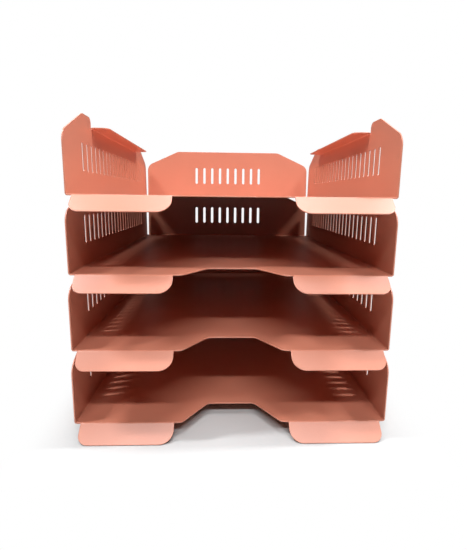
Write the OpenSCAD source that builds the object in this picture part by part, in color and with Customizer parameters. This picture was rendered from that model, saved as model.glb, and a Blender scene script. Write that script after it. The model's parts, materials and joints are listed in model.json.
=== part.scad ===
// Stacking letter tray of folded sheet steel, four trays high.
// Every tray is one sheet: a floor, two side walls with horns and flanges, a back wall and two front lips.
// Each tray stands on the flanges of the tray below, held between its horns and its back wall.
// X runs across the trays, Y from the open front to the back wall, and Z up from the desk.
// A tray is drawn level, its front edge on Y = 0 and its underside on Z = 0, and then set in the stack.

/* [Tray] */
// Outside width at the floor
tray_width = 250; // [230:1:300]
// Depth of the floor, from the front edge to the back wall
tray_depth = 330; // [310:1:380]
// Height from one floor to the next
stack_pitch = 60; // [54:1:90]
// Height of the horns and the back wall above the flanges
clasp_height = 8; // [6:0.5:12]

/* [Sheet] */
// Thickness of the sheet
sheet = 1; // [0.8:0.1:1.5]
// Inside radius of every fold
fold_radius = 1; // [0.5:0.1:2]
// Clearance between a tray and the walls that clasp it
nest_gap = 0.3; // [0.2:0.05:0.6]
// Clearance between a flange and the floor that stands on it
seat_gap = 0.02; // [0.01:0.01:0.1]
// Width of the relief cut at each end of a flange
flange_relief = 1; // [0.5:0.1:2]
// Distance that a side wall stops short of the rear fold
side_relief = 2; // [1:0.5:6]
// Distance that the back wall stops short of the side folds
back_relief = 0.5; // [0.5:0.5:4]
// Distance that a lip stops short of the side fold
lip_relief = 3; // [1:0.5:10]

/* [Walls] */
// Fall of the sloping corners below the horns and the back wall's top
slope_drop = 21; // [12:0.5:28]
// Angle of the sloping corners
slope_angle = 24.5; // [18:0.5:40]
// Flat length of a horn's top
horn_top = 22; // [14:1:40]
// Rounding of the walls' outer corners
corner_radius = 12; // [4:0.5:16]
// Rounding where a slope meets the top
peak_radius = 10; // [2:0.5:16]
// Rounding of a horn's corner beside the flange
horn_radius = 5; // [2:0.5:6]
// Width of the flanges, from the outside of the wall
flange_width = 16; // [10:0.5:24]
// Rounding of the flanges' free corners
flange_radius = 6; // [2:0.5:8]

/* [Front lips] */
// Drop of the lips below the floor's underside
lip_drop = 11.5; // [10:0.5:18]
// Angle of the lips below the floor
lip_angle = 45; // [35:1:60]
// Distance from the cut-out's mouth to a lip
lip_margin = 6; // [5:0.5:12]
// Rounding of a lip's corner beside the wall
lip_side_radius = 8; // [2:0.5:10]
// Rounding of a lip's corner beside the cut-out
lip_inner_radius = 11; // [2:0.5:11]

/* [Thumb cut-out] */
// Width of the cut-out at the front edge
mouth_width = 80; // [60:1:110]
// Width of the cut-out at its back
cut_width = 40; // [24:1:50]
// Depth of the cut-out from the front edge
cut_depth = 30; // [16:1:50]
// Rounding of the cut-out's corners
cut_radius = 6; // [2:0.5:8]

/* [Slots] */
// Width of a slot
slot_width = 3.5; // [2:0.5:6]
// Height of a slot
slot_height = 24; // [10:0.5:26]
// Height of the slots' lower ends above the floor's underside
slot_base = 20; // [8:0.5:22]
// Distance from slot to slot
slot_pitch = 12; // [8:0.5:24]
// Distance from the ends of a side wall to its row of slots
slot_margin = 40; // [30:1:80]
// Length of the row of slots in the back wall
back_row = 100; // [40:1:120]

/* [Hidden] */
NODES = ["bottom_tray", "second_tray", "third_tray", "top_tray"];
$fn = 64;
coral = [0.88, 0.51, 0.41];
// What an arc is larger by, so that it crosses both of its edges and leaves no sliver
arc_margin = 0.001;
// What is trimmed off each end of a folded panel, so that its ends are flush
trim = 0.002;
// Share of a fold's angle that each of its two arcs spans, so that they overlap about the middle
arc_share = 0.6;
// How far a corner's tip reaches past the corner, as a share of the distance to its arc's centre
overshoot = 0.3;

// The walls lean out just enough for the next tray to nest between them.
lean = asin((sheet + nest_gap) / stack_pitch);
fold_outer = fold_radius + sheet;
wall_fold = 90 - lean;
flange_fold = 90 + lean;

// Lengths on the flat sheet are cut to a hundredth of a millimetre.
function cut(length) = round(100 * length) / 100;

// A setback is the distance from a fold's sharp corner to where its arc begins.
wall_setback = cut(fold_outer * tan(wall_fold / 2));
flange_setback = cut(fold_outer * tan(flange_fold / 2));
lip_setback = cut(fold_outer * tan(lip_angle / 2));

floor_half = tray_width / 2 - wall_setback;
floor_rear = tray_depth - wall_setback;
side_length = floor_rear - side_relief;
back_half = floor_half - back_relief;

wall_height = stack_pitch + clasp_height;
corner_height = wall_height - slope_drop;
slope_run = cut(slope_drop / tan(slope_angle));
horn_length = slope_run + horn_top;

flange_line = up(stack_pitch - seat_gap) - flange_setback;
flange_length = side_length - 2 * (horn_length + flange_relief);

lip_inner = mouth_width / 2 + lip_margin;
lip_outer = floor_half - lip_relief;
lip_length = cut((lip_drop + sheet * (1 - cos(lip_angle))) / sin(lip_angle));

// The stack stands on the lips' lower edges and the rear fold of the bottom tray, so it tips back a little.
lip_toe = [-lip_length * cos(lip_angle), sheet - lip_length * sin(lip_angle)];
lip_foot = lip_toe + sheet * [sin(lip_angle), -cos(lip_angle)];
foot_to_fold = [floor_rear, fold_outer] - lip_foot;
stack_tilt = atan2(foot_to_fold[1], foot_to_fold[0]) - asin(fold_outer / norm(foot_to_fold));
stack_lift = lip_foot[0] * sin(stack_tilt) - lip_foot[1] * cos(stack_tilt);

// The origin is on the desk, under the middle of the whole stack.
back_top = [tray_depth + wall_height * tan(lean), (len(NODES) - 1) * stack_pitch + wall_height];
front_reach = lip_toe[0] * cos(stack_tilt) + lip_toe[1] * sin(stack_tilt);
rear_reach = back_top[0] * cos(stack_tilt) + back_top[1] * sin(stack_tilt);
stack_middle = (front_reach + rear_reach) / 2;

// Distance up a leaning wall, from the end of its fold, at a height above the floor's underside
function up(height) = cut(height / cos(lean)) - wall_setback;

// Length of a panel before its ends are trimmed
function untrimmed(length) = length + 2 * trim;

function unit(v) = v / norm(v);

// Positive where an outline drawn counter-clockwise turns left, at a corner that sticks out
function turn(before, corner, after) = cross(corner - before, after - corner);

// The tip that rounding takes off an outer corner, or fills in at an inner one
module corner_tip(before, corner, after, radius) {
    arm_in = unit(before - corner);
    arm_out = unit(after - corner);
    half_angle = acos(arm_in * arm_out) / 2;
    centre = corner + unit(arm_in + arm_out) * radius / sin(half_angle);
    reach = radius / tan(half_angle);
    beyond = corner + (corner - centre) * overshoot;
    difference() {
        polygon([corner + arm_in * reach, beyond, corner + arm_out * reach]);
        translate(centre) circle(radius + arc_margin);
    }
}

// An outline drawn counter-clockwise, with its own rounding at each corner
module rounded_outline(points, radii) {
    last = len(points) - 1;
    difference() {
        union() {
            polygon(points);
            round_corners(points, radii, last, -1);
        }
        round_corners(points, radii, last, 1);
    }
}

// The tips of all corners that turn one way
module round_corners(points, radii, last, way) {
    for (i = [0 : last]) {
        before = points[i == 0 ? last : i - 1];
        after = points[i == last ? 0 : i + 1];
        if (radii[i] > 0 && way * turn(before, points[i], after) > 0)
            corner_tip(before, points[i], after, radii[i]);
    }
}

// An arc of sheet about the Z axis, from the X axis towards the Y axis
module fold_arc(angle, length) {
    rotate_extrude(angle = angle) translate([fold_radius, 0]) square([sheet, length]);
}

// A fold about the Z axis that turns a sheet towards the Y axis, and the panels that follow it.
// An arc grows from each side. All of it is drawn over the untrimmed length, and then trimmed square at
// both ends by a slab that is wider than any panel.
module fold(angle, length) {
    arc = arc_share * angle;
    slab = 4 * wall_height;
    intersection() {
        translate([0, 0, -trim]) {
            fold_arc(arc, untrimmed(length));
            rotate([0, 0, angle]) {
                mirror([0, 1, 0]) fold_arc(arc, untrimmed(length));
                translate([fold_radius, 0, 0]) children();
            }
        }
        translate([-slab / 2, -slab / 2, 0]) cube([slab, slab, length]);
    }
}

// A flat panel from its outline: along the fold line is Z, away from it is Y, and the outer face is at +X.
module panel() {
    translate([sheet, 0, 0]) rotate([0, -90, 0]) linear_extrude(sheet) children();
}

// One slot with round ends, standing on its lower end
module slot() {
    end = slot_width / 2;
    translate([-end, end]) square([slot_width, slot_height - slot_width]);
    translate([0, end]) circle(end);
    translate([0, slot_height - end]) circle(end);
}

// As many slots as fit in a length, about its middle
module slot_row(length, middle) {
    gaps = floor((length - slot_width) / slot_pitch);
    for (i = [0 : gaps])
        translate([middle + (i - gaps / 2) * slot_pitch, up(slot_base)]) slot();
}

// The flat floor, with the thumb cut-out and the strips where the lips fold down
module floor_panel() {
    right = [
        [mouth_width / 2, 0], [lip_inner, 0], [lip_inner, lip_setback], [lip_outer, lip_setback],
        [lip_outer, 0], [floor_half, 0], [floor_half, side_length], [back_half, side_length],
        [back_half, floor_rear]
    ];
    cut_right = [cut_width / 2, cut_depth];
    left = [for (i = [len(right) - 1 : -1 : 0]) [-right[i][0], right[i][1]]];
    cut_left = [-cut_right[0], cut_right[1]];
    right_radii = [for (p = right) p == right[0] ? cut_radius : 0];
    left_radii = [for (p = left) p == left[len(left) - 1] ? cut_radius : 0];
    linear_extrude(sheet)
        rounded_outline(
            concat([cut_right], right, left, [cut_left]),
            concat([cut_radius], right_radii, left_radii, [cut_radius])
        );
}

// Outline of a side wall, from its fold up: a horn at each end, and the flange's fold line between them
module side_outline(length) {
    front = [[0, 0], [0, up(corner_height)], [slope_run, up(wall_height)], [horn_length, up(wall_height)],
             [horn_length, flange_line]];
    rear = [for (p = front) [length - p[0], p[1]]];
    radii = [0, corner_radius, peak_radius, min(horn_radius, clasp_height), 0];
    backwards = [for (i = [len(front) - 1 : -1 : 0]) i];
    rounded_outline(
        concat(rear, [for (i = backwards) front[i]]),
        concat(radii, [for (i = backwards) radii[i]])
    );
}

// Outline of the back wall, from its fold up
module back_outline(width) {
    rounded_outline(
        [[0, 0], [width, 0], [width, up(corner_height)], [width - slope_run, up(wall_height)],
         [slope_run, up(wall_height)], [0, up(corner_height)]],
        [0, 0, corner_radius, peak_radius, peak_radius, corner_radius]
    );
}

// Outline of a flange or a lip, from its fold to its free edge, with its two free corners rounded
module flap_outline(length, reach, far_radius, near_radius) {
    rounded_outline(
        [[0, 0], [length, 0], [length, reach], [0, reach]],
        [0, 0, min(far_radius, reach), min(near_radius, reach)]
    );
}

// The right-hand side wall with its slots, and the flange that carries the next tray
module side_wall() {
    length = untrimmed(side_length);
    translate([floor_half, side_length, fold_outer]) rotate([90, 90, 0])
        fold(wall_fold, side_length) {
            panel() difference() {
                side_outline(length);
                slot_row(side_length - 2 * slot_margin, length / 2);
            }
            translate([-fold_radius, flange_line, (length - flange_length) / 2])
                fold(flange_fold, flange_length)
                    panel() flap_outline(
                        untrimmed(flange_length), flange_width - flange_setback, flange_radius, flange_radius
                    );
        }
}

// The back wall with its sloping corners and slots
module back_wall() {
    width = 2 * back_half;
    translate([-back_half, floor_rear, fold_outer]) rotate([0, 90, 0])
        fold(wall_fold, width)
            panel() difference() {
                back_outline(untrimmed(width));
                slot_row(back_row, untrimmed(width) / 2);
            }
}

// The right-hand front lip
module lip() {
    width = lip_outer - lip_inner;
    translate([lip_inner, lip_setback, -fold_radius]) rotate([180, -90, 0])
        fold(lip_angle, width)
            panel() flap_outline(
                untrimmed(width), lip_length - lip_setback, lip_side_radius, lip_inner_radius
            );
}

// One folded sheet
module tray() {
    floor_panel();
    back_wall();
    for (side = [0, 1])
        mirror([side, 0, 0]) {
            side_wall();
            lip();
        }
}

// Sets a tray on the stack, counting from the desk
module on_level(level) {
    translate([0, -stack_middle, stack_lift]) rotate([-stack_tilt, 0, 0])
        translate([0, 0, level * stack_pitch]) children();
}

module bottom_tray() {
    color(coral) on_level(0) tray();
}

module second_tray() {
    color(coral) on_level(1) tray();
}

module third_tray() {
    color(coral) on_level(2) tray();
}

module top_tray() {
    color(coral) on_level(3) tray();
}

bottom_tray();
second_tray();
third_tray();
top_tray();
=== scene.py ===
"""Looks of a stacking letter tray: folded, powder-coated steel trays on a white desk."""

from __future__ import annotations

import json
import logging
import math
from collections.abc import Mapping, Sequence
from dataclasses import dataclass
from enum import Enum
from functools import cached_property
from typing import Union

import bmesh
import bpy
from mathutils import Euler, Matrix, Vector

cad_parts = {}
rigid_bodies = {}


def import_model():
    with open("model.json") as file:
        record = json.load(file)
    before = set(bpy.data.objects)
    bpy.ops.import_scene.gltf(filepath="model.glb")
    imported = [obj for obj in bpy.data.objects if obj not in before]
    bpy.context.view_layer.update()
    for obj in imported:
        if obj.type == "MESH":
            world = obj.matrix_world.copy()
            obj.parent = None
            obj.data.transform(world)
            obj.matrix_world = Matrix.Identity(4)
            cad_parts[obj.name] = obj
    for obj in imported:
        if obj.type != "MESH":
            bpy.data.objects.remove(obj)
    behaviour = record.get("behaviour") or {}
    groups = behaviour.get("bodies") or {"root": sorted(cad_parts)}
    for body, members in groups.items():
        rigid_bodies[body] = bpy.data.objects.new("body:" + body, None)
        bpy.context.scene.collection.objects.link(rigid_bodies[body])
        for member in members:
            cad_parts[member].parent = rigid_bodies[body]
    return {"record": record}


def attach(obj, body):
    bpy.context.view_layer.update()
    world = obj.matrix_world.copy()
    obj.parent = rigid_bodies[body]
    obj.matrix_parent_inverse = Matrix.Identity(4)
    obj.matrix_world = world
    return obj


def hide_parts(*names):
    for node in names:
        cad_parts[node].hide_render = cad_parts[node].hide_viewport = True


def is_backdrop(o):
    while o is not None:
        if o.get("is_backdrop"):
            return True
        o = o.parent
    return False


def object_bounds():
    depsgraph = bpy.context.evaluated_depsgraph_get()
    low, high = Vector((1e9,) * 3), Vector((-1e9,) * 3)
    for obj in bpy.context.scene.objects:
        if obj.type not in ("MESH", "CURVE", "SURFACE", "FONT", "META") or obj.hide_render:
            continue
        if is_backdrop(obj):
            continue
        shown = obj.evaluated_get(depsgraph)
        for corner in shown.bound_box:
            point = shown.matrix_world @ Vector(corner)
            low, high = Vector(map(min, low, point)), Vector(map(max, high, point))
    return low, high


LOG = logging.getLogger("letter_tray")
MM = 0.001
FLAT_ANGLE = math.radians(0.5)
WHITE = (1.0, 1.0, 1.0, 1.0)
ACROSS = Vector((1.0, 0.0, 0.0))
REARWARD = Vector((0.0, 1.0, 0.0))
UPWARD = Vector((0.0, 0.0, 1.0))

Colour = tuple[float, float, float]
NumberOrSignal = Union[float, "Signal"]


class Operation(Enum):
    """Sums that a Math node does for the shaders."""

    ADD = "ADD"
    SUBTRACT = "SUBTRACT"
    MULTIPLY = "MULTIPLY"
    MAXIMUM = "MAXIMUM"
    ABSOLUTE = "ABSOLUTE"


class Signal:
    """A shader socket that takes part in Python sums."""

    def __init__(self, graph: Graph, socket: bpy.types.NodeSocket | None) -> None:
        """Keeps the socket and the graph that it is in."""
        self.graph = graph
        self.socket = socket

    def _sum(self, operation: Operation, first: NumberOrSignal, second: NumberOrSignal = 0.0) -> Signal:
        """The result of a new Math node."""
        return self.graph.node("ShaderNodeMath", {"operation": operation.value}, {0: first, 1: second})

    def __add__(self, other: NumberOrSignal) -> Signal:
        """This plus other."""
        return self._sum(Operation.ADD, self, other)

    def __radd__(self, other: NumberOrSignal) -> Signal:
        """Other plus this."""
        return self._sum(Operation.ADD, other, self)

    def __sub__(self, other: NumberOrSignal) -> Signal:
        """This less other."""
        return self._sum(Operation.SUBTRACT, self, other)

    def __rsub__(self, other: NumberOrSignal) -> Signal:
        """Other less this."""
        return self._sum(Operation.SUBTRACT, other, self)

    def __mul__(self, other: NumberOrSignal) -> Signal:
        """This times other."""
        return self._sum(Operation.MULTIPLY, self, other)

    def __rmul__(self, other: NumberOrSignal) -> Signal:
        """Other times this."""
        return self._sum(Operation.MULTIPLY, other, self)

    def __abs__(self) -> Signal:
        """This without its sign."""
        return self._sum(Operation.ABSOLUTE, self)

    def or_larger(self, other: NumberOrSignal) -> Signal:
        """The larger one of this and other."""
        return self._sum(Operation.MAXIMUM, self, other)


@dataclass(frozen=True)
class NoiseLayer:
    """Size and make-up of a noise.

    Attributes:
        scale: Waves per metre.
        detail: How many finer layers are added.
        roughness: How strong the finer layers are.
    """

    scale: float
    detail: float
    roughness: float


class Graph:
    """The nodes of one material or of the world."""

    MIRRORED_SHARE = 0.12

    def __init__(self, owner: bpy.types.Material | bpy.types.World) -> None:
        """Starts an empty tree.

        Args:
            owner: What the tree belongs to.
        """
        owner.use_nodes = True
        self.tree = owner.node_tree
        self.tree.nodes.clear()

    def node(
        self,
        kind: str,
        settings: Mapping[str, object] | None = None,
        sockets: Mapping[str | int, object] | None = None,
        output: str | int = 0,
    ) -> Signal:
        """Adds a node.

        Args:
            kind: The node's type.
            settings: Properties of the node, set first. "stops" gives a ramp's two stops.
            sockets: Values or signals for its inputs, by name or number.
            output: Which of its outputs is returned.

        Returns:
            The chosen output.
        """
        made = self.tree.nodes.new(kind)
        for name, value in (settings or {}).items():
            if name == "stops":
                self._set_stops(made.color_ramp, value)
            else:
                setattr(made, name, value)
        for key, value in (sockets or {}).items():
            socket = made.inputs[key]
            if isinstance(value, Signal):
                self.tree.links.new(value.socket, socket)
            else:
                socket.default_value = value
        return Signal(self, made.outputs[output]) if made.outputs else Signal(self, None)

    @staticmethod
    def _set_stops(ramp: bpy.types.ColorRamp, stops: Sequence[tuple[float, Colour]]) -> None:
        """Sets the two stops of a new ramp.

        Args:
            ramp: The ramp.
            stops: Place and colour of each stop, in order.
        """
        for element, (place, colour) in zip(ramp.elements, stops):
            element.position = place
            element.color = (*colour, 1.0)

    def seen_rays(self) -> Signal:
        """Tells what the camera sees from the light that falls on things.

        Returns:
            One for what is seen straight or through glass, MIRRORED_SHARE for what is seen mirrored, and zero
            for other light.
        """
        straight = self.node("ShaderNodeLightPath", output="Is Camera Ray")
        mirrored = self.node("ShaderNodeLightPath", output="Is Glossy Ray")
        through = self.node("ShaderNodeLightPath", output="Is Transmission Ray")
        seen = straight + self.MIRRORED_SHARE * mirrored + through
        return self.node("ShaderNodeClamp", None, {"Value": seen})

    def noise(self, layer: NoiseLayer) -> Signal:
        """Adds a noise in space over the piece.

        Args:
            layer: Size and make-up of the noise.

        Returns:
            A value about 0.5.
        """
        place = self.node("ShaderNodeTexCoord", output="Object")
        return self.node(
            "ShaderNodeTexNoise",
            {"noise_dimensions": "3D"},
            {"Vector": place, "Scale": layer.scale, "Detail": layer.detail, "Roughness": layer.roughness},
        )


@dataclass(frozen=True)
class PowderCoat:
    """Satin powder coat on steel, baked on as fine grains that flow together.

    Attributes:
        name: The material's name.
        deep: Colour where the coat is thickest.
        pale: Colour where the coat is thinnest.
        roughness: Mean roughness of the gloss.
        gloss_spread: How much the clouds and the grains change the roughness.
        refraction: Refractive index of the coat.
        peel: Height of the waves in the coat.
        clouds: Slow changes in the coat's thickness.
        grains: Grains of the powder.
        waves: Fine waves that the coat sets in.
        cloud_share: Share of the clouds in the colour. The grains have the rest.
        wave_share: Share of the waves in the relief. The grains have the rest.
        colour_range: Noise values at which the colour is all deep and all pale.
    """

    name: str
    deep: Colour
    pale: Colour
    roughness: float
    gloss_spread: float
    refraction: float
    peel: float
    clouds: NoiseLayer
    grains: NoiseLayer
    waves: NoiseLayer
    cloud_share: float
    wave_share: float
    colour_range: tuple[float, float]

    def material(self) -> bpy.types.Material:
        """Makes the material.

        Returns:
            A new material with its nodes.
        """
        made = bpy.data.materials.new(self.name)
        graph = Graph(made)
        cloud = graph.noise(self.clouds)
        grain = graph.noise(self.grains)
        wave = graph.noise(self.waves)
        colour = graph.node(
            "ShaderNodeValToRGB",
            {"stops": list(zip(self.colour_range, (self.deep, self.pale)))},
            {"Fac": self.cloud_share * cloud + (1.0 - self.cloud_share) * grain},
        )
        # Both noises lie about 0.5, so that their sum less one lies about zero.
        gloss = self.roughness + self.gloss_spread * (cloud + grain - 1.0)
        height = self.wave_share * wave + (1.0 - self.wave_share) * grain
        relief = graph.node(
            "ShaderNodeBump",
            None,
            {"Strength": 1.0, "Distance": self.peel, "Height": height},
        )
        surface = graph.node(
            "ShaderNodeBsdfPrincipled",
            None,
            {"Base Color": colour, "Roughness": gloss, "IOR": self.refraction, "Normal": relief},
        )
        graph.node("ShaderNodeOutputMaterial", None, {"Surface": surface})
        return made


@dataclass(frozen=True)
class WhiteDesk:
    """A white desk top that keeps the shadow of what stands on it, and melts into a white room around that.

    Attributes:
        name: The material's name.
        colour: Colour of the top.
        roughness: Roughness of the top.
        shadow_area: Half the width and half the depth of the area that keeps its full shadow.
        fade: Distance over which the top melts into the room around that area.
    """

    name: str
    colour: Colour
    roughness: float
    shadow_area: tuple[float, float]
    fade: float

    def material(self) -> bpy.types.Material:
        """Makes the material.

        Returns:
            A new material with its nodes.
        """
        made = bpy.data.materials.new(self.name)
        graph = Graph(made)
        top = graph.node(
            "ShaderNodeBsdfPrincipled", None, {"Base Color": (*self.colour, 1.0), "Roughness": self.roughness}
        )
        white = graph.node("ShaderNodeEmission", None, {"Color": WHITE, "Strength": 1.0})
        place = graph.node("ShaderNodeTexCoord", output="Object")
        across = abs(graph.node("ShaderNodeSeparateXYZ", None, {"Vector": place}, "X")) - self.shadow_area[0]
        along = abs(graph.node("ShaderNodeSeparateXYZ", None, {"Vector": place}, "Y")) - self.shadow_area[1]
        melted = graph.node(
            "ShaderNodeMapRange",
            {"interpolation_type": "SMOOTHSTEP"},
            {"Value": across.or_larger(along), "From Max": self.fade},
        )
        mixed = graph.node("ShaderNodeMixShader", None, {"Fac": melted * graph.seen_rays(), 1: top, 2: white})
        graph.node("ShaderNodeOutputMaterial", None, {"Surface": mixed})
        return made


@dataclass(frozen=True)
class Corner:
    """A corner of a panel's outline.

    Attributes:
        along: Distance along the panel's fold line.
        away: Distance from the fold line.
        radius: Rounding of the corner.
    """

    along: float
    away: float
    radius: float = 0.0


@dataclass(frozen=True)
class PanelPlane:
    """Where a flat panel of the sheet lies, at the middle of its thickness.

    Attributes:
        origin: A point on the fold line that the panel starts from.
        along: Direction of the fold line.
        away: Direction in which the panel goes on.
        facing: Side of the panel that the next fold turns towards.
    """

    origin: Vector
    along: Vector
    away: Vector
    facing: Vector

    def point(self, along: float, away: float) -> Vector:
        """A point on the panel."""
        return self.origin + self.along * along + self.away * away

    def fold_centre(self, line: float, radius: float) -> Vector:
        """The middle of a fold that starts at a distance from the panel's own fold line."""
        return self.point(0.0, line) + self.facing * radius

    def folded(self, line: float, angle: float, radius: float) -> PanelPlane:
        """The panel after a fold.

        Args:
            line: Distance from this panel's fold line to where the fold starts.
            angle: Angle of the fold.
            radius: Radius of the fold at the middle of the sheet.

        Returns:
            The plane of the next panel.
        """
        away = self.away * math.cos(angle) + self.facing * math.sin(angle)
        facing = self.facing * math.cos(angle) - self.away * math.sin(angle)
        return PanelPlane(self.fold_centre(line, radius) - facing * radius, self.along, away, facing)


class SheetDrawing:
    """A mesh drawn in edit mode with the tools of the mesh editor."""

    TOUCH = 0.001 * MM
    ARC_STEP = math.radians(7.5)
    FEWEST_STEPS = 2

    def __init__(self, name: str) -> None:
        """Starts an empty mesh in edit mode.

        Args:
            name: Name of the object that is drawn.
        """
        bpy.ops.object.select_all(action="DESELECT")
        bpy.ops.mesh.primitive_plane_add(size=MM)
        self.object = bpy.context.object
        self.object.name = name
        self.object.data.name = name
        bpy.ops.object.mode_set(mode="EDIT")
        bpy.ops.mesh.select_all(action="SELECT")
        bpy.ops.mesh.delete(type="VERT")

    def _steps(self, angle: float) -> int:
        """Number of straight steps in an arc."""
        return max(self.FEWEST_STEPS, round(abs(angle) / self.ARC_STEP))

    def _spin(self, angle: float, centre: Vector, axis: Vector) -> None:
        """Turns what is selected about an axis, and leaves a surface or a line behind it."""
        bpy.ops.mesh.spin(steps=self._steps(angle), angle=-angle, center=centre, axis=axis)

    def _draw_to(self, here: Vector, there: Vector) -> None:
        """Draws a straight edge from the selected vertex."""
        if (there - here).length > self.TOUCH:
            bpy.ops.mesh.extrude_vertices_move(TRANSFORM_OT_translate={"value": there - here})

    def panel(self, plane: PanelPlane, corners: Sequence[Corner]) -> None:
        """Draws the outline of a flat panel and fills it.

        Args:
            plane: Where the panel lies.
            corners: Its corners in order, the first of them sharp.
        """
        points = [plane.point(corner.along, corner.away) for corner in corners]
        bpy.ops.mesh.select_all(action="DESELECT")
        bpy.ops.mesh.primitive_plane_add(size=MM, location=points[0])
        bpy.ops.mesh.merge(type="CENTER")
        here = points[0]
        for index in range(1, len(corners)):
            here = self._round(here, points, index, corners[index].radius)
        bpy.ops.mesh.select_linked()
        bpy.ops.mesh.edge_face_add()

    def _round(self, here: Vector, points: Sequence[Vector], index: int, radius: float) -> Vector:
        """Draws on to a corner and round it.

        Args:
            here: Where the drawing has come to.
            points: The corners of the outline.
            index: Which of them is drawn.
            radius: Rounding of that corner.

        Returns:
            Where the drawing has come to then.
        """
        corner = points[index]
        if radius <= 0.0:
            self._draw_to(here, corner)
            return corner
        back = (points[index - 1] - corner).normalized()
        onward = (points[(index + 1) % len(points)] - corner).normalized()
        half = back.angle(onward) / 2.0
        start = corner + back * (radius / math.tan(half))
        centre = corner + (back + onward).normalized() * (radius / math.sin(half))
        self._draw_to(here, start)
        self._spin(math.pi - 2.0 * half, centre, onward.cross(back))
        return corner + onward * (radius / math.tan(half))

    def fold(
        self, plane: PanelPlane, line: float, angle: float, radius: float, ends: Sequence[float]
    ) -> PanelPlane:
        """Folds the sheet at an edge that is already drawn.

        Args:
            plane: The panel that the edge belongs to.
            line: Distance of the edge from that panel's own fold line.
            angle: Angle of the fold.
            radius: Radius of the fold at the middle of the sheet.
            ends: Where the edge starts and ends, along the fold line.

        Returns:
            The plane of the panel after the fold.
        """
        first, last = (plane.point(end, line) for end in ends)
        mesh = bmesh.from_edit_mesh(self.object.data)
        bpy.ops.mesh.select_all(action="DESELECT")
        for edge in mesh.edges:
            near = {min((vertex.co - first).length, (vertex.co - last).length) for vertex in edge.verts}
            apart = (edge.verts[0].co - edge.verts[1].co).length
            if max(near) < self.TOUCH and apart > self.TOUCH:
                edge.select_set(True)
        bmesh.update_edit_mesh(self.object.data)
        self._spin(angle, plane.fold_centre(line, radius), plane.away.cross(plane.facing))
        return plane.folded(line, angle, radius)

    def finish(self) -> bpy.types.Object:
        """Joins the panels to their folds and leaves edit mode.

        Returns:
            The drawn object.
        """
        bpy.ops.mesh.select_all(action="SELECT")
        bpy.ops.mesh.remove_doubles(threshold=self.TOUCH)
        bpy.ops.mesh.normals_make_consistent(inside=False)
        bpy.ops.object.mode_set(mode="OBJECT")
        return self.object


def select_only(piece: bpy.types.Object) -> None:
    """Selects one piece and no other.

    Args:
        piece: The piece that the next operators act on.
    """
    bpy.ops.object.select_all(action="DESELECT")
    bpy.context.view_layer.objects.active = piece
    piece.select_set(True)


def apply_modifier(piece: bpy.types.Object, kind: str, **settings: object) -> None:
    """Adds a modifier to a piece and applies it.

    Args:
        piece: The piece that is shaped.
        kind: The modifier's type.
        **settings: Properties of the modifier.
    """
    modifier = piece.modifiers.new(kind.lower(), kind)
    for name, value in settings.items():
        setattr(modifier, name, value)
    select_only(piece)
    bpy.ops.object.modifier_apply(modifier=modifier.name)


def merge_flat_faces(piece: bpy.types.Object) -> None:
    """Takes out the edges between faces that lie in one plane, such as those on a mirror's seam.

    Args:
        piece: The piece that is cleaned.
    """
    select_only(piece)
    bpy.ops.object.mode_set(mode="EDIT")
    bpy.ops.mesh.select_all(action="SELECT")
    bpy.ops.mesh.dissolve_limited(angle_limit=FLAT_ANGLE)
    bpy.ops.object.mode_set(mode="OBJECT")


def cut_length(length: float) -> float:
    """A length on the flat sheet, cut to a hundredth of a millimetre."""
    return round(length / MM, 2) * MM


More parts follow.
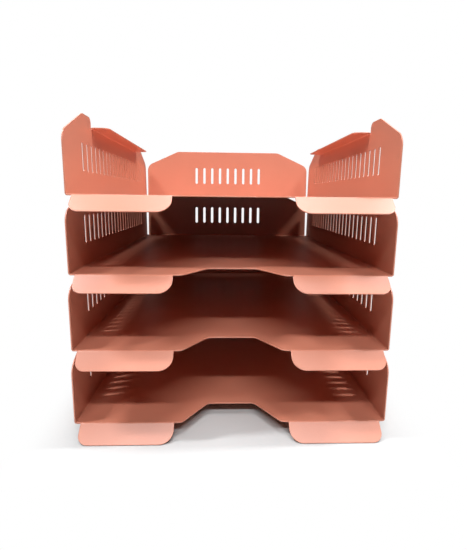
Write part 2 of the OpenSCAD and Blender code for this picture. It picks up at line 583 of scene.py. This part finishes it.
@dataclass
class FoldedTray:
    """One tray, folded from a single sheet: its front edge on Y = 0 and its underside on Z = 0.

    Attributes:
        width: Outside width at the floor.
        depth: Depth of the floor, from the front edge to the back wall.
        pitch: Height from one floor to the next.
        clasp: Height of the horns and the back wall above the flanges.
        sheet: Thickness of the sheet.
        fold_radius: Inside radius of every fold.
        nest_gap: Clearance between a tray and the walls that clasp it.
        seat_gap: Clearance between a flange and the floor on it.
        flange_relief: Width of the relief cut at each end of a flange.
        side_relief: Distance that a side wall stops short of the rear fold.
        back_relief: Distance that the back wall stops short of the side folds.
        lip_relief: Distance that a lip stops short of the side fold.
        slope_drop: Fall of the sloping corners.
        slope_angle: Angle of the sloping corners.
        horn_top: Flat length of a horn's top.
        corner_radius: Rounding of the walls' outer corners.
        peak_radius: Rounding where a slope meets the top.
        horn_radius: Rounding of a horn's corner beside the flange.
        flange_width: Width of a flange, from the outside of the wall.
        flange_radius: Rounding of the flanges' free corners.
        lip_drop: Drop of the lips below the floor's underside.
        lip_angle: Angle of the lips below the floor.
        lip_margin: Distance from the cut-out's mouth to a lip.
        lip_side_radius: Rounding of a lip's corner beside the wall.
        lip_inner_radius: Rounding of a lip's corner beside the cut-out.
        mouth_width: Width of the thumb cut-out at the front edge.
        cut_width: Width of the cut-out at its back.
        cut_depth: Depth of the cut-out.
        cut_radius: Rounding of the cut-out's corners.
        slot_width: Width of a slot.
        slot_height: Height of a slot.
        slot_base: Height of the slots' lower ends.
        slot_pitch: Distance from slot to slot.
        slot_margin: Distance from a side wall's ends to its row of slots.
        back_row: Length of the row of slots in the back wall.
        slot_facets: Facets round the ends of a slot. Twice an odd number keeps its sides straight.
        cutter_reach: Length of the cutters, across the wall that they cut.
        coat_edge: Width of the rounding that the coat leaves on every cut edge.
        edge_segments: Facets across that rounding.
        edge_angle: Smallest angle between two faces that makes an edge.
    """

    width: float = 250 * MM
    depth: float = 330 * MM
    pitch: float = 60 * MM
    clasp: float = 8 * MM
    sheet: float = 1 * MM
    fold_radius: float = 1 * MM
    nest_gap: float = 0.3 * MM
    seat_gap: float = 0.02 * MM
    flange_relief: float = 1 * MM
    side_relief: float = 2 * MM
    back_relief: float = 0.5 * MM
    lip_relief: float = 3 * MM
    slope_drop: float = 21 * MM
    slope_angle: float = math.radians(24.5)
    horn_top: float = 22 * MM
    corner_radius: float = 12 * MM
    peak_radius: float = 10 * MM
    horn_radius: float = 5 * MM
    flange_width: float = 16 * MM
    flange_radius: float = 6 * MM
    lip_drop: float = 11.5 * MM
    lip_angle: float = math.radians(45)
    lip_margin: float = 6 * MM
    lip_side_radius: float = 8 * MM
    lip_inner_radius: float = 11 * MM
    mouth_width: float = 80 * MM
    cut_width: float = 40 * MM
    cut_depth: float = 30 * MM
    cut_radius: float = 6 * MM
    slot_width: float = 3.5 * MM
    slot_height: float = 24 * MM
    slot_base: float = 20 * MM
    slot_pitch: float = 12 * MM
    slot_margin: float = 40 * MM
    back_row: float = 100 * MM
    slot_facets: int = 26
    cutter_reach: float = 6 * MM
    coat_edge: float = 0.24 * MM
    edge_segments: int = 3
    edge_angle: float = math.radians(40)

    @cached_property
    def lean(self) -> float:
        """Angle by which the walls lean out, so that the next tray nests between them."""
        return math.asin((self.sheet + self.nest_gap) / self.pitch)

    @cached_property
    def wall_fold(self) -> float:
        """Angle of a wall's fold."""
        return math.pi / 2.0 - self.lean

    @cached_property
    def flange_fold(self) -> float:
        """Angle of a flange's fold."""
        return math.pi / 2.0 + self.lean

    @cached_property
    def middle_radius(self) -> float:
        """Radius of a fold at the middle of the sheet."""
        return self.fold_radius + self.sheet / 2.0

    def setback(self, angle: float) -> float:
        """Distance from a fold's sharp outer corner to where the fold begins."""
        return cut_length((self.fold_radius + self.sheet) * math.tan(angle / 2.0))

    def up(self, height: float) -> float:
        """Distance up a leaning wall, from its fold, at a height above the floor's underside."""
        return cut_length(height / math.cos(self.lean)) - self.setback(self.wall_fold)

    @cached_property
    def floor_half(self) -> float:
        """Half the width of the flat floor."""
        return self.width / 2.0 - self.setback(self.wall_fold)

    @cached_property
    def floor_rear(self) -> float:
        """Depth of the flat floor."""
        return self.depth - self.setback(self.wall_fold)

    @cached_property
    def side_length(self) -> float:
        """Length of a side wall."""
        return self.floor_rear - self.side_relief

    @cached_property
    def back_half(self) -> float:
        """Half the width of the back wall."""
        return self.floor_half - self.back_relief

    @cached_property
    def wall_height(self) -> float:
        """Height of the horns and the back wall."""
        return self.pitch + self.clasp

    @cached_property
    def slope_run(self) -> float:
        """Length of a sloping corner along the wall."""
        return cut_length(self.slope_drop / math.tan(self.slope_angle))

    @cached_property
    def horn_length(self) -> float:
        """Length of a horn along the wall."""
        return self.slope_run + self.horn_top

    @cached_property
    def flange_line(self) -> float:
        """Distance up the wall to where the flange's fold begins."""
        return self.up(self.pitch - self.seat_gap) - self.setback(self.flange_fold)

    @cached_property
    def lip_inner(self) -> float:
        """Distance from the middle to a lip's inner end."""
        return self.mouth_width / 2.0 + self.lip_margin

    @cached_property
    def lip_outer(self) -> float:
        """Distance from the middle to a lip's outer end."""
        return self.floor_half - self.lip_relief

    @cached_property
    def lip_length(self) -> float:
        """Length of a lip from its sharp upper corner to its free edge."""
        fall = self.lip_drop + self.sheet * (1.0 - math.cos(self.lip_angle))
        return cut_length(fall / math.sin(self.lip_angle))

    @cached_property
    def side_plane(self) -> PanelPlane:
        """The right half of the floor, on its way to the side wall."""
        return PanelPlane(Vector((self.floor_half, 0.0, self.sheet / 2.0)), REARWARD, ACROSS, UPWARD)

    @cached_property
    def back_plane(self) -> PanelPlane:
        """The floor, on its way to the back wall."""
        return PanelPlane(Vector((0.0, self.floor_rear, self.sheet / 2.0)), ACROSS, REARWARD, UPWARD)

    @cached_property
    def lip_plane(self) -> PanelPlane:
        """The floor, on its way to the front lips."""
        origin = Vector((0.0, self.setback(self.lip_angle), self.sheet / 2.0))
        return PanelPlane(origin, ACROSS, -REARWARD, -UPWARD)

    def draw_floor(self, drawing: SheetDrawing) -> None:
        """Draws the right half of the floor, with half of the thumb cut-out.

        Args:
            drawing: The sheet that is drawn.
        """
        front = self.setback(self.lip_angle)
        plane = PanelPlane(Vector((0.0, 0.0, self.sheet / 2.0)), ACROSS, REARWARD, UPWARD)
        drawing.panel(plane, [
            Corner(0.0, self.floor_rear),
            Corner(0.0, self.cut_depth),
            Corner(self.cut_width / 2.0, self.cut_depth, self.cut_radius),
            Corner(self.mouth_width / 2.0, 0.0, self.cut_radius),
            Corner(self.lip_inner, 0.0),
            Corner(self.lip_inner, front),
            Corner(self.lip_outer, front),
            Corner(self.lip_outer, 0.0),
            Corner(self.floor_half, 0.0),
            Corner(self.floor_half, self.side_length),
            Corner(self.back_half, self.side_length),
            Corner(self.back_half, self.floor_rear),
        ])

    def draw_side_wall(self, drawing: SheetDrawing) -> None:
        """Folds up the right side wall with its horns, and folds its flange inwards.

        Args:
            drawing: The sheet that is drawn, with its floor.
        """
        wall = drawing.fold(self.side_plane, 0.0, self.wall_fold, self.middle_radius, (0.0, self.side_length))
        flange_start = self.horn_length + self.flange_relief
        top = self.up(self.wall_height)
        horn_radius = min(self.horn_radius, self.clasp)
        horn = [
            Corner(0.0, 0.0),
            Corner(0.0, self.up(self.wall_height - self.slope_drop), self.corner_radius),
            Corner(self.slope_run, top, self.peak_radius),
            Corner(self.horn_length, top, horn_radius),
            Corner(self.horn_length, self.flange_line),
            Corner(flange_start, self.flange_line),
        ]
        far_horn = [Corner(self.side_length - c.along, c.away, c.radius) for c in reversed(horn)]
        drawing.panel(wall, horn + far_horn)
        ends = (flange_start, self.side_length - flange_start)
        flange = drawing.fold(wall, self.flange_line, self.flange_fold, self.middle_radius, ends)
        self._draw_flap(drawing, flange, ends, self.flange_width - self.setback(self.flange_fold),
                        (self.flange_radius, self.flange_radius))

    def draw_back_wall(self, drawing: SheetDrawing) -> None:
        """Folds up the right half of the back wall, with its sloping corner.

        Args:
            drawing: The sheet that is drawn, with its floor.
        """
        wall = drawing.fold(self.back_plane, 0.0, self.wall_fold, self.middle_radius, (0.0, self.back_half))
        top = self.up(self.wall_height)
        drawing.panel(wall, [
            Corner(0.0, top),
            Corner(0.0, 0.0),
            Corner(self.back_half, 0.0),
            Corner(self.back_half, self.up(self.wall_height - self.slope_drop), self.corner_radius),
            Corner(self.back_half - self.slope_run, top, self.peak_radius),
        ])

    def draw_lip(self, drawing: SheetDrawing) -> None:
        """Folds down the right front lip.

        Args:
            drawing: The sheet that is drawn, with its floor.
        """
        ends = (self.lip_inner, self.lip_outer)
        lip = drawing.fold(self.lip_plane, 0.0, self.lip_angle, self.middle_radius, ends)
        self._draw_flap(drawing, lip, ends, self.lip_length - self.setback(self.lip_angle),
                        (self.lip_inner_radius, self.lip_side_radius))

    @staticmethod
    def _draw_flap(
        drawing: SheetDrawing,
        plane: PanelPlane,
        ends: tuple[float, float],
        reach: float,
        radii: tuple[float, float],
    ) -> None:
        """Draws a flange or a lip with its two free corners rounded.

        Args:
            drawing: The sheet that is drawn.
            plane: Where the flap lies.
            ends: Where it starts and ends along its fold.
            reach: How far it goes from its fold.
            radii: Rounding of the free corner at its start and at its end.
        """
        start, end = ends
        drawing.panel(plane, [
            Corner(start, 0.0),
            Corner(start, reach, min(radii[0], reach)),
            Corner(end, reach, min(radii[1], reach)),
            Corner(end, 0.0),
        ])

    def slot_count(self, length: float) -> int:
        """How many slots fit in a row."""
        return math.floor((length - self.slot_width + SheetDrawing.TOUCH) / self.slot_pitch) + 1

    def slot_cutter(self, name: str) -> bpy.types.Object:
        """Models the cutter of one slot, a cylinder that is drawn out to the slot's height.

        Args:
            name: Name of the cutter.

        Returns:
            The cutter, with the middle of its lower end at the origin.
        """
        bpy.ops.object.select_all(action="DESELECT")
        bpy.ops.mesh.primitive_cylinder_add(
            vertices=self.slot_facets, radius=self.slot_width / 2.0, depth=self.cutter_reach
        )
        cutter = bpy.context.object
        cutter.name = name
        bpy.ops.object.mode_set(mode="EDIT")
        mesh = bmesh.from_edit_mesh(cutter.data)
        bpy.ops.mesh.select_all(action="DESELECT")
        bpy.ops.mesh.select_mode(type="VERT")
        for vertex in mesh.verts:
            vertex.select_set(vertex.co.y > 0.0)
        mesh.select_flush(True)
        bmesh.update_edit_mesh(cutter.data)
        bpy.ops.transform.translate(value=(0.0, self.slot_height - self.slot_width, 0.0))
        bpy.ops.object.mode_set(mode="OBJECT")
        return cutter

    def slot_row(self, name: str, plane: PanelPlane, middle: float, length: float) -> bpy.types.Object:
        """Models a row of cutters, one for each slot.

        Args:
            name: Name of the row.
            plane: The wall that is cut.
            middle: Where the middle of the row is, along the wall.
            length: Length that the row has to fit in.

        Returns:
            The cutters, as one object.
        """
        count = self.slot_count(length)
        row = self.slot_cutter(name)
        apply_modifier(row, "ARRAY", count=count, use_relative_offset=False, use_constant_offset=True,
                       constant_offset_displace=(self.slot_pitch, 0.0, 0.0))
        first = middle - (count - 1) / 2.0 * self.slot_pitch
        start = plane.point(first, self.up(self.slot_base) + self.slot_width / 2.0)
        turn = Matrix((plane.along, plane.away, plane.along.cross(plane.away))).transposed()
        row.matrix_world = Matrix.Translation(start) @ turn.to_4x4()
        bpy.ops.object.transform_apply(location=True, rotation=True, scale=True)
        return row

    def cut_slots(self, tray: bpy.types.Object) -> None:
        """Cuts the rows of slots through both side walls and the back wall.

        Args:
            tray: The folded tray, with its thickness.
        """
        right = self.side_plane.folded(0.0, self.wall_fold, self.middle_radius)
        flip = Matrix.Diagonal((-1.0, 1.0, 1.0))
        left = PanelPlane(flip @ right.origin, right.along, flip @ right.away, flip @ right.facing)
        back = self.back_plane.folded(0.0, self.wall_fold, self.middle_radius)
        side_row = self.side_length - 2.0 * self.slot_margin
        rows = [
            self.slot_row("right_slots", right, self.side_length / 2.0, side_row),
            self.slot_row("left_slots", left, self.side_length / 2.0, side_row),
            self.slot_row("back_slots", back, 0.0, self.back_row),
        ]
        for row in rows:
            apply_modifier(tray, "BOOLEAN", operation="DIFFERENCE", solver="EXACT", object=row)
            bpy.data.objects.remove(row)

    def build(self) -> bpy.types.Object:
        """Models the whole tray.

        Returns:
            The tray, level and at the origin.
        """
        drawing = SheetDrawing("folded_tray")
        self.draw_floor(drawing)
        self.draw_side_wall(drawing)
        self.draw_back_wall(drawing)
        self.draw_lip(drawing)
        tray = drawing.finish()
        apply_modifier(tray, "MIRROR", use_axis=(True, False, False), merge_threshold=SheetDrawing.TOUCH)
        merge_flat_faces(tray)
        apply_modifier(tray, "SOLIDIFY", thickness=self.sheet, offset=0.0, use_even_offset=True)
        self.cut_slots(tray)
        apply_modifier(tray, "BEVEL", width=self.coat_edge, segments=self.edge_segments, limit_method="ANGLE",
                       angle_limit=self.edge_angle, use_clamp_overlap=False)
        bpy.ops.object.shade_smooth_by_angle(angle=self.edge_angle)
        apply_modifier(tray, "WEIGHTED_NORMAL", mode="FACE_AREA", keep_sharp=True)
        return tray


@dataclass
class TrayStack:
    """The trays, one on top of the other, standing on the bottom tray's lips and rear fold.

    Attributes:
        tray: The tray that all are copies of.
        bodies: Names of the trays' bodies, from the desk up.
        coat: Finish of the sheet.
    """

    tray: FoldedTray
    bodies: tuple[str, ...]
    coat: PowderCoat

    @cached_property
    def lip_toe(self) -> Vector:
        """Upper end of a lip's free edge, as depth and height on a level tray."""
        tray = self.tray
        return Vector((-tray.lip_length * math.cos(tray.lip_angle),
                       tray.sheet - tray.lip_length * math.sin(tray.lip_angle)))

    @cached_property
    def lip_foot(self) -> Vector:
        """Lower end of a lip's free edge, which stands on the desk."""
        tray = self.tray
        return self.lip_toe + tray.sheet * Vector((math.sin(tray.lip_angle), -math.cos(tray.lip_angle)))

    @cached_property
    def tilt(self) -> float:
        """Works out how the stack stands on its lips and its rear fold.

        Returns:
            Angle by which the stack tips back.
        """
        outer = self.tray.fold_radius + self.tray.sheet
        reach = Vector((self.tray.floor_rear, outer)) - self.lip_foot
        return math.atan2(reach.y, reach.x) - math.asin(outer / reach.length)

    @cached_property
    def place(self) -> Matrix:
        """Works out where the stack stands, with its middle over the origin.

        Returns:
            What carries a level tray to its place at the bottom of the stack.
        """
        tray, turn = self.tray, Matrix.Rotation(-self.tilt, 2)
        back_top = Vector((tray.depth + tray.wall_height * math.tan(tray.lean),
                           (len(self.bodies) - 1) * tray.pitch + tray.wall_height))
        middle = ((turn @ self.lip_toe).x + (turn @ back_top).x) / 2.0
        lift = -(turn @ self.lip_foot).y
        return Matrix.Translation((0.0, -middle, lift)) @ Matrix.Rotation(-self.tilt, 4, "X")

    def build(self) -> list[bpy.types.Object]:
        """Models the tray once and stacks copies of it.

        Returns:
            The trays, from the desk up.
        """
        first = self.tray.build()
        trays = [first]
        for _ in self.bodies[1:]:
            copy = first.copy()
            copy.data = first.data.copy()
            bpy.context.scene.collection.objects.link(copy)
            trays.append(copy)
        for level, (piece, body) in enumerate(zip(trays, self.bodies)):
            piece.name = f"{body}_folded_sheet"
            piece.data.name = piece.name
            piece.data.transform(self.place @ Matrix.Translation((0.0, 0.0, level * self.tray.pitch)))
            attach(piece, body)
            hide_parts(f"{body}_tray")
        return trays

    def dress(self, trays: Sequence[bpy.types.Object]) -> None:
        """Gives the trays their finish.

        Args:
            trays: The trays that were built.
        """
        material = self.coat.material()
        for piece in trays:
            piece.data.materials.clear()
            piece.data.materials.append(material)


@dataclass(frozen=True)
class Softbox:
    """A flat lamp that looks at a point.

    Attributes:
        name: The lamp's name.
        place: Where it stands.
        target: What it looks at.
        size: Its width and its height.
        power: Its power in watts.
    """

    name: str
    place: Vector
    target: Vector
    size: tuple[float, float]
    power: float

    def build(self) -> None:
        """Sets up the lamp."""
        light = bpy.data.lights.new(self.name, "AREA")
        light.shape = "RECTANGLE"
        light.size, light.size_y = self.size
        light.energy = self.power
        lamp = bpy.data.objects.new(self.name, light)
        lamp.location = self.place
        lamp.rotation_euler = (self.target - self.place).to_track_quat("-Z", "Y").to_euler()
        bpy.context.scene.collection.objects.link(lamp)


@dataclass
class Studio:
    """The desk, the lamps, the white room and the camera.

    Attributes:
        desk: Finish of the desk top.
        desk_size: Length of the desk's sides.
        lamps: The lamps.
        frame_height: Height of the picture in pixels.
        focal_pixels: The lens's focal length in pixels.
        picture_middle: Middle of the picture in pixels.
        lens_middle: Where the lens's axis meets the picture, in pixels.
        sensor_size: Length of the sensor's long side, as Blender counts it.
        nearest: Nearest distance that the camera sees.
        eye: Where the camera stands.
        gaze: The camera's turns about X, Y and Z, in degrees.
    """

    desk: WhiteDesk
    desk_size: float
    lamps: tuple[Softbox, ...]
    frame_height: float = 550.0
    focal_pixels: float = 403.5
    picture_middle: tuple[float, float] = (233.5, 275.0)
    lens_middle: tuple[float, float] = (235.8, 249.4)
    sensor_size: float = 36.0
    nearest: float = 10 * MM
    eye: tuple[float, float, float] = (-9.4 * MM, -461.6 * MM, 201.4 * MM)
    gaze: tuple[float, float, float] = (80.687, -0.715, -1.981)

    def build_desk(self) -> None:
        """Models the desk top and marks it as stage."""
        bpy.ops.object.select_all(action="DESELECT")
        bpy.ops.mesh.primitive_plane_add(size=self.desk_size)
        top = bpy.context.object
        top.name = "desk_top"
        top.data.materials.append(self.desk.material())
        top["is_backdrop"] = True

    def build_world(self) -> None:
        """Makes a room that looks white and leaves the light to the lamps."""
        world = bpy.data.worlds.new("white_room")
        bpy.context.scene.world = world
        graph = Graph(world)
        light = graph.node("ShaderNodeBackground", None, {"Color": WHITE, "Strength": graph.seen_rays()})
        graph.node("ShaderNodeOutputWorld", None, {"Surface": light})

    def build_camera(self) -> None:
        """Sets up the camera as the photograph was taken."""
        lens = bpy.data.cameras.new("camera")
        lens.sensor_width = self.sensor_size
        lens.lens = self.sensor_size * self.focal_pixels / self.frame_height
        lens.shift_x = (self.picture_middle[0] - self.lens_middle[0]) / self.frame_height
        lens.shift_y = (self.lens_middle[1] - self.picture_middle[1]) / self.frame_height
        lens.clip_start = self.nearest
        camera = bpy.data.objects.new("camera", lens)
        camera.location = self.eye
        camera.rotation_euler = Euler([math.radians(turn) for turn in self.gaze])
        bpy.context.scene.collection.objects.link(camera)
        bpy.context.scene.camera = camera

    def build(self) -> None:
        """Sets up everything round the object."""
        self.build_desk()
        self.build_world()
        for lamp in self.lamps:
            lamp.build()
        self.build_camera()


def coral_coat() -> PowderCoat:
    """Chooses the finish of the trays.

    Returns:
        A coral powder coat.
    """
    return PowderCoat(
        name="coral_powder_coat",
        deep=(0.594, 0.220, 0.142),
        pale=(0.648, 0.250, 0.164),
        roughness=0.33,
        gloss_spread=0.10,
        refraction=1.65,
        peel=0.05 * MM,
        clouds=NoiseLayer(scale=14.0, detail=3.0, roughness=0.55),
        grains=NoiseLayer(scale=2600.0, detail=1.0, roughness=0.5),
        waves=NoiseLayer(scale=620.0, detail=2.0, roughness=0.45),
        cloud_share=0.55,
        wave_share=0.8,
        colour_range=(0.30, 0.70),
    )


def white_studio(middle: Vector) -> Studio:
    """Chooses the desk and the lamps.

    Args:
        middle: What the lamps look at.

    Returns:
        The studio, before it is built.
    """
    desk = WhiteDesk(
        name="white_desk",
        colour=(0.580, 0.594, 0.599),
        roughness=0.8,
        shadow_area=(114 * MM, 170 * MM),
        fade=50 * MM,
    )
    # The left and right lamps are small and stand high, and cast streaks through the slots.
    lamps = (
        Softbox("front_lamp", Vector((0.0, -1.35, 1.53)), middle, size=(1.6, 0.12), power=24.0),
        Softbox("ceiling_lamp", Vector((0.1, -0.2, 1.8)), middle, size=(0.7, 0.7), power=15.0),
        Softbox("left_lamp", Vector((-0.975, -0.27, 1.59)), middle, size=(0.1, 0.36), power=18.0),
        Softbox("right_lamp", Vector((1.05, -0.06, 1.56)), middle, size=(0.1, 0.36), power=20.0),
        Softbox("rear_lamp", Vector((0.0, 1.2, 1.6)), middle, size=(1.6, 0.8), power=14.0),
    )
    return Studio(desk, desk_size=12.0, lamps=lamps)


def main() -> None:
    """Builds the trays and the studio."""
    logging.basicConfig(level=logging.INFO, format="%(name)s: %(message)s")
    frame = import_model()
    cad_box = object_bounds()
    stack = TrayStack(FoldedTray(), tuple(frame["record"]["behaviour"]["bodies"]), coral_coat())
    trays = stack.build()
    stack.dress(trays)
    for piece in trays:
        LOG.info("%s: %d faces", piece.name, len(piece.data.polygons))
    white_studio(Vector((0.0, 0.0, (cad_box[0].z + cad_box[1].z) / 2.0))).build()
    bpy.context.scene.view_settings.view_transform = "Standard"


if __name__ == "__main__":
    main()
